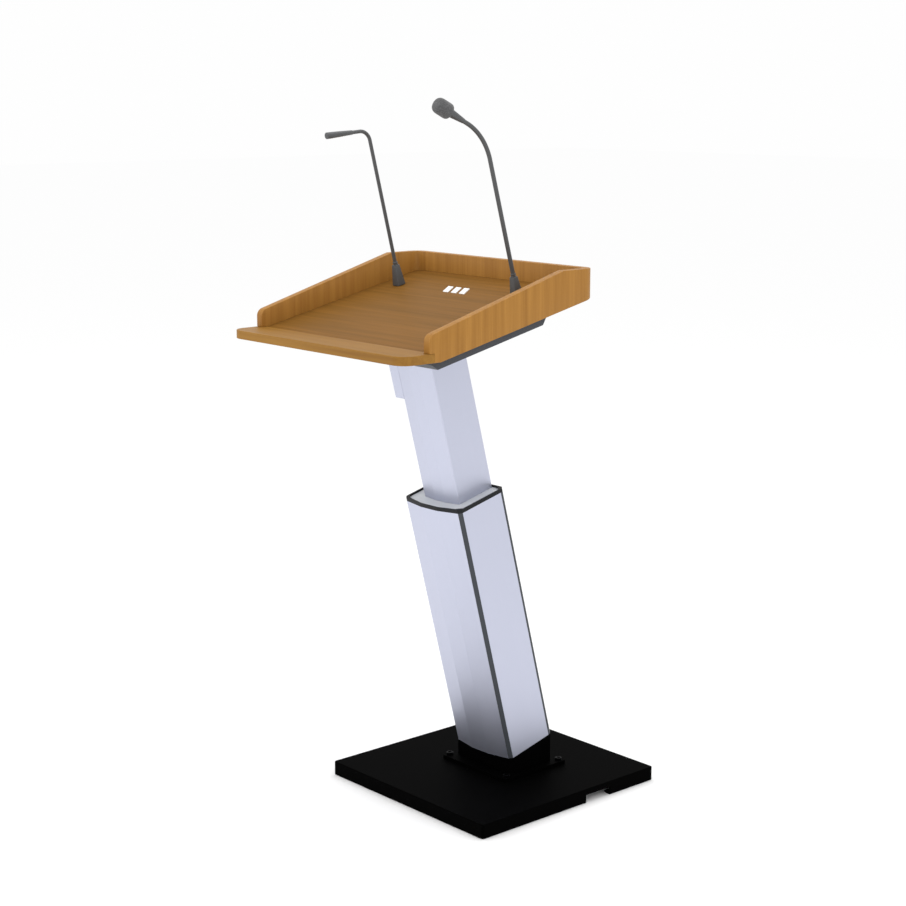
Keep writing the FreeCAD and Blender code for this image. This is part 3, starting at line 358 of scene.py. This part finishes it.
class Workshop:
    """Makes each finish once and puts it on CAD nodes and new pieces."""

    def __init__(self) -> None:
        """Start with no material made."""
        self.made: dict[str, Material] = {}

    def material(self, slot: str) -> Material:
        """Material of a finish, made the first time that it is asked for.

        Args:
            slot: Key of the finish.

        Returns:
            The material.
        """
        if slot not in self.made:
            self.made[slot] = FINISHES[slot].build()
        return self.made[slot]

    def dress(self, piece: Object, slot: str) -> Object:
        """Give a piece one material all over.

        Args:
            piece: Piece or CAD node.
            slot: Key of the finish.

        Returns:
            The piece.
        """
        if not piece.data.materials:
            piece.data.materials.append(None)
        for held in piece.material_slots:
            held.link = "OBJECT"
            held.material = self.material(slot)
        return piece

    def dress_frame(self, exceptions: dict[str, str]) -> None:
        """Dress every CAD node by its record slot.

        Args:
            exceptions: Finish by node, where it isn't the record's.
        """
        for part in frame["record"]["subparts"]:
            node = part["node"]
            self.dress(frame["nodes"][node], exceptions.get(node, part["material_slot"]))
            LOG.info("dressed %s", node)

    def hand_over(self, piece: Object, slot: str, body: str, nodes: Iterable[str] = ()) -> Object:
        """Dress a finished piece, tie it to its body and let it stand for CAD nodes.

        Args:
            piece: The finished piece.
            slot: Its finish.
            body: Body that it rides on.
            nodes: CAD nodes that it stands for.

        Returns:
            The piece.
        """
        self.dress(piece, slot)
        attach(piece, body)
        if nodes:
            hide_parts(*nodes)
        LOG.info("made %s", piece.name)
        return piece


# --- modelling moves --------------------------------------------------------------------------------

class Bench:
    """Edit-mode moves that the hand-modelled pieces share."""

    @staticmethod
    def begin(name: str) -> Object:
        """Name the primitive just added, put its place in its mesh and open it for editing.

        Args:
            name: Name for the object and its mesh.

        Returns:
            The piece, in edit mode with all of it selected.
        """
        piece = bpy.context.active_object
        piece.name = name
        piece.data.name = name
        bpy.ops.object.transform_apply(location=True, rotation=True, scale=True)
        bpy.ops.object.mode_set(mode="EDIT")
        bpy.ops.mesh.select_all(action="SELECT")
        return piece

    @staticmethod
    def clear() -> None:
        """Leave edit mode and deselect everything."""
        if bpy.context.object and bpy.context.object.mode != "OBJECT":
            bpy.ops.object.mode_set(mode="OBJECT")
        bpy.ops.object.select_all(action="DESELECT")

    @classmethod
    def ring(cls, name: str, radius: float, place: Matrix, facets: int = 32) -> Object:
        """Start from a filled circle square to the placement's Z axis.

        Args:
            name: Name of the piece.
            radius: Radius in metres.
            place: Placement of the circle's middle.
            facets: Corners round the circle.

        Returns:
            The piece, in edit mode.
        """
        cls.clear()
        bpy.ops.mesh.primitive_circle_add(vertices=facets, radius=radius, fill_type="NGON",
                                          location=place.to_translation(), rotation=place.to_euler())
        return cls.begin(name)

    @classmethod
    def block(cls, name: str, low: Vector, high: Vector) -> Object:
        """Start from an upright box.

        Args:
            name: Name of the piece.
            low: Lowest corner.
            high: Highest corner.

        Returns:
            The piece, in edit mode.
        """
        cls.clear()
        bpy.ops.mesh.primitive_cube_add(size=1, location=(low + high) / 2)
        bpy.context.active_object.scale = high - low
        return cls.begin(name)

    @staticmethod
    def pick(piece: Object, kind: str, wanted: Callable) -> int:
        """Select only the faces, edges or verts that a test picks.

        Args:
            piece: Object in edit mode.
            kind: "faces", "edges" or "verts".
            wanted: Test on one element.

        Returns:
            How many were picked.
        """
        mesh = bmesh.from_edit_mesh(piece.data)
        bpy.ops.mesh.select_mode(type={"faces": "FACE", "edges": "EDGE", "verts": "VERT"}[kind])
        bpy.ops.mesh.select_all(action="DESELECT")
        mesh = bmesh.from_edit_mesh(piece.data)
        found = [item for item in getattr(mesh, kind) if wanted(item)]
        for item in found:
            item.select_set(True)
        mesh.select_flush_mode()
        bmesh.update_edit_mesh(piece.data)
        return len(found)

    @staticmethod
    def push(offset: Vector) -> None:
        """Extrude what is selected by an offset."""
        bpy.ops.mesh.extrude_region_move(TRANSFORM_OT_translate={"value": tuple(offset)})

    @staticmethod
    def grow(factor: float, about: Vector) -> None:
        """Scale what is selected about a point."""
        bpy.ops.transform.resize(value=(factor,) * 3, center_override=tuple(about))

    @staticmethod
    def middle(piece: Object) -> Vector:
        """Mean place of the selected vertices."""
        mesh = bmesh.from_edit_mesh(piece.data)
        chosen = [v.co for v in mesh.verts if v.select]
        return sum(chosen, Vector()) / len(chosen)

    @classmethod
    def revolve(cls, piece: Object, ahead: Vector, steps: Iterable[tuple[float, float]]) -> None:
        """Grow a round piece along an axis.

        Args:
            piece: Piece in edit mode whose end ring is selected.
            ahead: Unit direction to grow in.
            steps: Advance in millimetres and scale of the ring, for each step.
        """
        for reach, factor in steps:
            cls.push(ahead * reach * MM)
            cls.grow(factor, cls.middle(piece))

    @staticmethod
    def spin(steps: int, degrees: float, centre: Vector, axis: Vector) -> None:
        """Spin what is selected by the right-hand rule, which the operator counts backwards.

        Args:
            steps: Steps in the turn.
            degrees: Angle of the turn.
            centre: Point on the axis.
            axis: Direction of the axis.
        """
        bpy.ops.mesh.spin(steps=steps, angle=-math.radians(degrees), center=tuple(centre),
                          axis=tuple(axis))

    @staticmethod
    def trim(point: Vector, outward: Vector) -> None:
        """Cut off what lies beyond a plane and close the cut.

        Args:
            point: Point on the plane.
            outward: Normal on the side that goes.
        """
        bpy.ops.mesh.select_all(action="SELECT")
        bpy.ops.mesh.bisect(plane_co=tuple(point), plane_no=tuple(outward), use_fill=True,
                            clear_outer=True)

    @staticmethod
    def weld() -> None:
        """Merge doubles and point every face outwards."""
        bpy.ops.mesh.select_all(action="SELECT")
        bpy.ops.mesh.remove_doubles(threshold=WELD)
        bpy.ops.mesh.normals_make_consistent(inside=False)

    @classmethod
    def finish(cls, piece: Object, angle: float = 35.0, round_edges: float = 0.0,
               segments: int = 2) -> Object:
        """Merge doubles, point faces outwards, round sharp edges and shade.

        Args:
            piece: Object in edit mode.
            angle: Edges sharper than this stay sharp, in degrees.
            round_edges: Radius for the sharp edges, in metres.
            segments: Steps in that rounding.

        Returns:
            The piece, in object mode.
        """
        cls.weld()
        bpy.ops.object.mode_set(mode="OBJECT")
        if round_edges:
            rounding = piece.modifiers.new("rounding", "BEVEL")
            rounding.width = round_edges
            rounding.segments = segments
            rounding.limit_method = "ANGLE"
            rounding.angle_limit = math.radians(angle)
            bpy.ops.object.modifier_apply(modifier="rounding")
        bpy.ops.object.shade_smooth_by_angle(angle=math.radians(angle))
        cls.clear()
        return piece

    @classmethod
    def carve(cls, piece: Object, tool: Object) -> None:
        """Subtract a tool from a piece and throw the tool away.

        Args:
            piece: Piece in object mode, which ends in edit mode.
            tool: Closed mesh to take away.
        """
        cls.clear()
        bpy.context.view_layer.objects.active = piece
        piece.select_set(True)
        carving = piece.modifiers.new("carving", "BOOLEAN")
        carving.operation = "DIFFERENCE"
        carving.solver = "EXACT"
        carving.object = tool
        bpy.ops.object.modifier_apply(modifier="carving")
        bpy.data.objects.remove(tool, do_unlink=True)
        bpy.ops.object.mode_set(mode="EDIT")


def joint(name: str) -> dict:
    """One of the record's joints by name."""
    return next(item for item in frame["joints"] if item["name"] == name)


# --- tray -------------------------------------------------------------------------------------------

@dataclass
class TrayRim:
    """Side walls, rounded rear corners and rear wall as one continuous veneered rim."""

    shop: Workshop
    thickness: float = 18 * MM
    corner: float = 30 * MM
    nose: float = 12 * MM
    front: float = -424 * MM
    slope: float = DESK_SLOPE
    wall_slope: float = 15.8
    level_run: float = 93 * MM
    arris: float = 1.0 * MM
    nodes: tuple[str, ...] = ("side_wall_left", "side_wall_right", "back_wall", "rear_corner_left",
                              "rear_corner_right")

    def sweep(self, low: Vector, high: Vector) -> Object:
        """Sweep the wall's section back, round the rear and forward again.

        Args:
            low: Lowest corner of the rim's box.
            high: Highest corner of the rim's box.

        Returns:
            The untrimmed rim, in edit mode.
        """
        half = self.thickness / 2
        middle = Vector((low.x + half, self.front, (low.z + high.z) / 2))
        Bench.clear()
        bpy.ops.mesh.primitive_plane_add(size=1, location=middle, rotation=(math.pi / 2, 0, 0))
        bpy.context.active_object.scale = (self.thickness, high.z - low.z, 1)
        rim = Bench.begin("tray_rim")
        turn = high.y - self.corner
        Bench.push(Vector((0, turn - self.front, 0)))
        Bench.spin(10, -90, Vector((low.x + self.corner, turn, 0)), Vector((0, 0, 1)))
        Bench.push(Vector((high.x - low.x - 2 * self.corner, 0, 0)))
        Bench.spin(10, -90, Vector((high.x - self.corner, turn, 0)), Vector((0, 0, 1)))
        Bench.push(Vector((0, self.front - turn, 0)))
        return rim

    def build(self) -> Object:
        """Sweep the rim, trim it to its slopes, fit it over the ledge and round its noses."""
        low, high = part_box("side_wall_left")[0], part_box("side_wall_right")[1]
        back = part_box("back_wall")
        high.y, high.z = back[1].y, back[1].z
        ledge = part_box("book_ledge")
        rim = self.sweep(low, high)
        Bench.weld()
        tilt = math.radians(self.wall_slope)
        Bench.trim(Vector((0, high.y - self.level_run, high.z)),
                   Vector((0, -math.sin(tilt), math.cos(tilt))))
        desk = math.radians(self.slope)
        crease = Vector((0, high.y, self.underside(high.y)))
        Bench.trim(crease, Vector((0, math.sin(desk), -math.cos(desk))))
        bpy.ops.object.mode_set(mode="OBJECT")
        beyond = 50 * MM
        step = Bench.block("ledge_space", Vector((low.x - beyond, self.front - beyond, low.z - beyond)),
                           Vector((high.x + beyond, ledge[1].y + NEAR, ledge[1].z + NEAR)))
        bpy.ops.object.mode_set(mode="OBJECT")
        Bench.carve(rim, step)
        above = low.z + 25 * MM

        def across_nose(edge: bmesh.types.BMEdge) -> bool:
            """True for a level edge at the upper front of a side wall."""
            ends = [v.co for v in edge.verts]
            if abs(ends[0].z - ends[1].z) >= NEAR:
                return False
            return all(end.y < self.front + NEAR and end.z > above for end in ends)

        Bench.pick(rim, "edges", across_nose)
        bpy.ops.mesh.bevel(offset=self.nose, segments=6, affect="EDGES")
        Bench.finish(rim, angle=32, round_edges=self.arris)
        return self.shop.hand_over(rim, "oak_wall", "upper", self.nodes)

    def underside(self, y: float) -> float:
        """Height of the walls' sloping underside at a distance back."""
        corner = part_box("back_wall")
        return corner[0].z + (y - corner[0].y) * math.tan(math.radians(self.slope))


# --- fasteners --------------------------------------------------------------------------------------

@dataclass
class CapScrews:
    """Socket-head cap screws through the foot's flange, with their nuts below."""

    shop: Workshop
    head: float = 8 * MM
    head_height: float = 5 * MM
    shank: float = 5 * MM
    nut: float = 8.5 * MM
    nut_height: float = 4 * MM
    socket: float = 4.6 * MM

    def build_head(self, name: str, seat: Vector) -> Object:
        """Chamfered round head with a hexagonal socket.

        Args:
            name: Name of the piece.
            seat: Middle of the head's underside.

        Returns:
            The head.
        """
        up = Vector((0, 0, 1))
        tool = Bench.ring("socket_tool", self.socket, Matrix.Translation(seat + up * 1.8 * MM), 6)
        Bench.push(up * 8 * MM)
        Bench.finish(tool)
        screw = Bench.ring(name, self.head, Matrix.Translation(seat), 32)
        Bench.push(up * (self.head_height - 0.7 * MM))
        Bench.push(up * 0.7 * MM)
        Bench.grow(0.91, Bench.middle(screw))
        Bench.finish(screw)
        Bench.carve(screw, tool)
        return Bench.finish(screw, angle=30)

    def build_screw(self, name: str, seat: Vector, low: float) -> Object:
        """Head, shank and nut as one piece.

        Args:
            name: Name of the piece.
            seat: Middle of the head's underside.
            low: Height of the nut's underside.

        Returns:
            The screw.
        """
        screw = self.build_head(name, seat)
        foot = Matrix.Translation((seat.x, seat.y, low))
        parts = []
        shapes = (("shank", self.shank, 24, seat.z - low), ("nut", self.nut, 6, self.nut_height))
        for label, radius, facets, reach in shapes:
            part = Bench.ring(f"{name}_{label}", radius, foot, facets)
            Bench.push(Vector((0, 0, reach)))
            parts.append(Bench.finish(part, angle=30))
        return self.join(screw, parts)

    @staticmethod
    def join(first: Object, others: Iterable[Object]) -> Object:
        """Join pieces into the first one.

        Args:
            first: Piece that stays.
            others: Pieces that go into it.

        Returns:
            The first piece.
        """
        Bench.clear()
        for item in (first, *others):
            item.select_set(True)
        bpy.context.view_layer.objects.active = first
        bpy.ops.object.join()
        Bench.clear()
        return first

    def build(self) -> Object:
        """Four screws at the corners of the flange."""
        low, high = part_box("foot_bolts")
        seats = [Vector((x, y, high.z - self.head_height)) for x in (low.x + self.nut, high.x - self.nut)
                 for y in (low.y + self.nut, high.y - self.nut)]
        screws = [self.build_screw(f"foot_cap_screw_{i}", seat, low.z) for i, seat in enumerate(seats)]
        whole = self.join(screws[0], screws[1:])
        whole.name = "foot_cap_screws"
        return self.shop.hand_over(whole, "black_screws", "base", ["foot_bolts"])


# --- goosenecks -------------------------------------------------------------------------------------

@dataclass
class Gooseneck:
    """Tapered foot, ferrule and a flexible tube that bends at its foot and at its elbow."""

    shop: Workshop
    name: str
    radius: float
    bend: float
    turn: float
    neck: float
    lean: float
    ferrule: float = 5.5 * MM
    ease_below: float = 24 * MM
    ease_above: float = 18 * MM
    root: Vector = field(init=False)
    hinge: Vector = field(init=False)
    elbow: Vector = field(init=False)
    along: Vector = field(init=False)

    def __post_init__(self) -> None:
        """Read the joints' places from the record."""
        swivel = joint(f"{self.name}_swivel_turn")
        self.root = Vector(swivel["pos_m"])
        self.along = Vector(swivel["axis"]).normalized()
        self.hinge = Vector(joint(f"{self.name}_arm_bend")["pos_m"])
        self.elbow = Vector(joint(f"{self.name}_top_bend")["pos_m"])

    def place(self, at: Vector, extra: float = 0.0) -> Matrix:
        """Placement whose Z axis runs along the tube.

        Args:
            at: Its origin.
            extra: Further turn towards the speaker, in degrees.

        Returns:
            The placement.
        """
        return Matrix.Translation(at) @ Matrix.Rotation(math.radians(self.lean + extra), 4, "X")

    @property
    def tip(self) -> Matrix:
        """Placement at the end of the bent tube."""
        start = self.place(self.elbow)
        angle = math.radians(self.turn)
        ahead = Vector((0, self.bend * (math.cos(angle) - 1), self.bend * math.sin(angle)))
        end = self.place(start @ ahead, self.turn)
        return end @ Matrix.Translation((0, 0, self.neck))

    def build_foot(self) -> Object:
        """Square foot, drawn in towards the top, with soft arrises."""
        node = frame["nodes"][f"{self.name}_foot"]
        desk = math.radians(DESK_SLOPE)
        up = Vector((0, -math.sin(desk), math.cos(desk)))
        corners = [v.co.copy() for v in node.data.vertices]
        heights = [c.dot(up) for c in corners]
        base = [c for c, h in zip(corners, heights) if h < min(heights) + NEAR]
        crown = [c for c, h in zip(corners, heights) if h > max(heights) - NEAR]
        centre = sum(base, Vector()) / len(base)
        width = max(c.x for c in base) - min(c.x for c in base)
        top = max(c.x for c in crown) - min(c.x for c in crown)
        Bench.clear()
        bpy.ops.mesh.primitive_plane_add(size=width, location=centre, rotation=(desk, 0, 0))
        foot = Bench.begin(f"{self.name}_foot_cover")
        rise = max(heights) - min(heights)
        for share in (0.08, 0.92):
            Bench.push(up * rise * share)
            if share > 0.5:
                Bench.grow(top / width, centre + up * rise)
        Bench.finish(foot, angle=30, round_edges=1.6 * MM, segments=3)
        return self.shop.hand_over(foot, "gunmetal", "upper", [f"{self.name}_foot"])

    def build_ferrule(self) -> Object:
        """Turned ferrule with a waist groove and rounded rims."""
        ring = Bench.ring(f"{self.name}_ferrule_ring", self.ferrule, self.place(self.root), 32)
        Bench.revolve(ring, self.along, [(1.6, 1.0), (0.3, 0.88), (1.0, 1.0), (0.3, 1 / 0.88),
                                         (2.4, 1.0), (0.8, 0.86)])
        Bench.finish(ring, angle=40, round_edges=0.25 * MM)
        return self.shop.hand_over(ring, "gunmetal", f"{self.name}_swivel", [f"{self.name}_ferrule"])

    def build_tube(self) -> None:
        """Two lengths of tube that meet half way up the stem, one for each bend."""
        half = (self.hinge + self.elbow) / 2
        start = self.root + self.along * 5 * MM
        lower = Bench.ring(f"{self.name}_tube_low", self.radius, self.place(start), 24)
        for _ in range(14):
            Bench.push(self.along * 1.5 * MM)
        Bench.push(half - (start + self.along * 21 * MM))
        Bench.finish(lower, angle=50)
        self.shop.dress(lower, "gunmetal")
        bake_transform(lower)
        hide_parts(f"{self.name}_stem")
        upper = Bench.ring(f"{self.name}_tube_high", self.radius, self.place(half), 24)
        run = self.ease_below + 4 * MM
        Bench.push(self.elbow - self.along * run - half)
        for _ in range(16):
            Bench.push(self.along * run / 16)
        centre = self.place(self.elbow) @ Vector((0, -self.bend, 0))
        Bench.spin(28, self.turn, centre, Vector((1, 0, 0)))
        Bench.push(self.ahead * self.neck)
        Bench.finish(upper, angle=50)
        self.shop.dress(upper, "gunmetal")
        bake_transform(upper)
        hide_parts(f"{self.name}_neck_tube")
        LOG.info("made %s tube", self.name)

    @property
    def ahead(self) -> Vector:
        """Direction in which the bent tube ends."""
        return self.tip.to_3x3() @ Vector((0, 0, 1))

    def build(self) -> None:
        """Foot, ferrule and tube."""
        self.build_foot()
        self.build_ferrule()
        self.build_tube()


@dataclass
class ReadingLamp(Gooseneck):
    """Gooseneck that ends in a slim lamp head with an opal window below."""

    taper: float = 1.86

    def build_head(self) -> None:
        """Slim head that widens towards a rounded end, flattened below for its window."""
        place = self.tip
        head = Bench.ring("lamp_shade", self.radius * 1.02, place, 32)
        Bench.revolve(head, self.ahead, [(1.2, 1.18), (18, 1.17), (18, 1.13), (18, 1.09), (12.4, 1.02),
                                         (1.0, 0.97), (0.5, 0.88)])
        taper = math.radians(self.taper)
        flat = place @ Vector((0, -5.85 * MM, 44 * MM))
        Bench.trim(flat, place.to_3x3() @ Vector((0, -math.cos(taper), -math.sin(taper))))
        Bench.finish(head, angle=40)
        self.shop.hand_over(head, "gunmetal", "lamp_top", ["lamp_head"])
        seat = place @ Matrix.Translation((0, -5.25 * MM, 44 * MM)) @ Matrix.Rotation(taper, 4, "X")
        Bench.clear()
        bpy.ops.mesh.primitive_cube_add(size=1, location=seat.to_translation(), rotation=seat.to_euler())
        bpy.context.active_object.scale = (6.2 * MM, 1.8 * MM, 40 * MM)
        window = Bench.begin("lamp_window")
        Bench.finish(window, angle=30, round_edges=0.6 * MM, segments=3)
        self.shop.hand_over(window, "lamp_diffuser", "lamp_top", ["lamp_lens"])

    def build(self) -> None:
        """Gooseneck and lamp head."""
        super().build()
        self.build_head()


@dataclass
class Microphone(Gooseneck):
    """Gooseneck that ends in a capsule cone inside a foam windshield."""

    def build_capsule(self) -> Object:
        """Flared cone with a thin collar where the foam begins."""
        cone = Bench.ring("mic_cone", self.radius * 1.02, self.tip, 32)
        Bench.revolve(cone, self.ahead, [(2, 1.12), (38, 1.72), (3.5, 1.02), (0.3, 0.93), (1.0, 1.0),
                                         (0.3, 1.06), (3, 1.0)])
        Bench.finish(cone, angle=30, round_edges=0.2 * MM)
        return self.shop.hand_over(cone, "gunmetal", "mic_top", ["mic_capsule"])

    def build_windshield(self) -> Object:
        """Foam sock with a domed front, a rolled rear rim and slightly bulging sides."""
        place = self.tip @ Matrix.Translation((0, 0, 44 * MM))
        sock = Bench.ring("mic_foam", 9.4 * MM, place, 40)
        Bench.revolve(sock, self.ahead, [(0.0, 1.5), (0.7, 1.1), (1.6, 1.04), (3.5, 1.015), (8, 1.0),
                                         (7, 1.0), (6, 0.985), (3.5, 0.95), (2.4, 0.91), (1.6, 0.85),
                                         (0.9, 0.75), (0.4, 0.5)])
        Bench.finish(sock, angle=60)
        return self.shop.hand_over(sock, "grey_foam", "mic_top", ["mic_windshield"])

    def build(self) -> None:
        """Gooseneck, capsule and windshield."""
        super().build()
        self.build_capsule()
        self.build_windshield()


# --- studio -----------------------------------------------------------------------------------------

@dataclass
class Studio:
    """Pale floor, soft lights and the camera."""

    camera_at: Vector = field(default_factory=lambda: Vector((2.9272, -2.7024, 1.5334)))
    azimuth: float = 48.57
    elevation: float = 11.2
    lens: float = 74.09

    def build_floor(self) -> None:
        """Wide pale floor."""
        Bench.clear()
        bpy.ops.mesh.primitive_plane_add(size=60)
        floor = bpy.context.active_object
        floor.name = "studio_floor"
        paper = Finish("matte_white_paper", "#fefefe", roughness=0.9, specular=0.0)
        floor.data.materials.append(paper.build())

    def build_lights(self) -> None:
        """White surroundings with soft boxes on the right, above and on the left."""
        scene = bpy.context.scene
        world = bpy.data.worlds.new("white_surround")
        scene.world = world
        world.use_nodes = True
        world.node_tree.nodes["Background"].inputs["Color"].default_value = (1, 1, 1, 1)
        world.node_tree.nodes["Background"].inputs["Strength"].default_value = 0.992
        boxes = (("key", (3.2, -1.2, 2.6), 2.2, 18), ("front", (-1.5, -3.4, 2.6), 2.4, 30),
                 ("top", (0.0, 0.4, 3.6), 2.6, 30))
        for name, at, size, power in boxes:
            lamp = bpy.data.lights.new(name, "AREA")
            lamp.size = size
            lamp.energy = power
            holder = bpy.data.objects.new(name, lamp)
            holder.location = at
            aim = Vector((0, -0.1, 0.8)) - Vector(at)
            holder.rotation_euler = aim.to_track_quat("-Z", "Y").to_euler()
            scene.collection.objects.link(holder)

    def build_camera(self) -> None:
        """Camera at standing eye height, looking slightly down."""
        data = bpy.data.cameras.new("camera")
        data.lens = self.lens
        data.sensor_width = 36
        camera = bpy.data.objects.new("camera", data)
        turn, rise = math.radians(self.azimuth), math.radians(self.elevation)
        back = Vector((math.sin(turn) * math.cos(rise), -math.cos(turn) * math.cos(rise),
                       math.sin(rise)))
        camera.location = self.camera_at
        camera.rotation_euler = (-back).to_track_quat("-Z", "Y").to_euler()
        bpy.context.scene.collection.objects.link(camera)
        bpy.context.scene.camera = camera

    def build(self) -> None:
        """Floor, lights, camera and plain colour handling."""
        self.build_floor()
        self.build_lights()
        self.build_camera()
        bpy.context.scene.view_settings.view_transform = "Standard"


def main() -> None:
    """Build every sub-assembly in order."""
    logging.basicConfig(level=logging.INFO, format="%(name)s: %(message)s")
    shop = Workshop()
    Studio().build()
    walls = dict.fromkeys(TrayRim.nodes, "oak_wall")
    shop.dress_frame({"desk_board": "oak_desk", "book_ledge": "oak_ledge", "rim_collar": "dark_rim",
                      **walls})
    TrayRim(shop).build()
    CapScrews(shop).build()
    ReadingLamp(shop, "lamp", radius=4 * MM, bend=26 * MM, turn=80.6, neck=20 * MM, lean=14.4).build()
    Microphone(shop, "mic", radius=4.5 * MM, bend=115 * MM, turn=48.9, neck=10 * MM, lean=15.6,
               ease_below=45 * MM, ease_above=40 * MM).build()


if __name__ == "__main__":
    main()
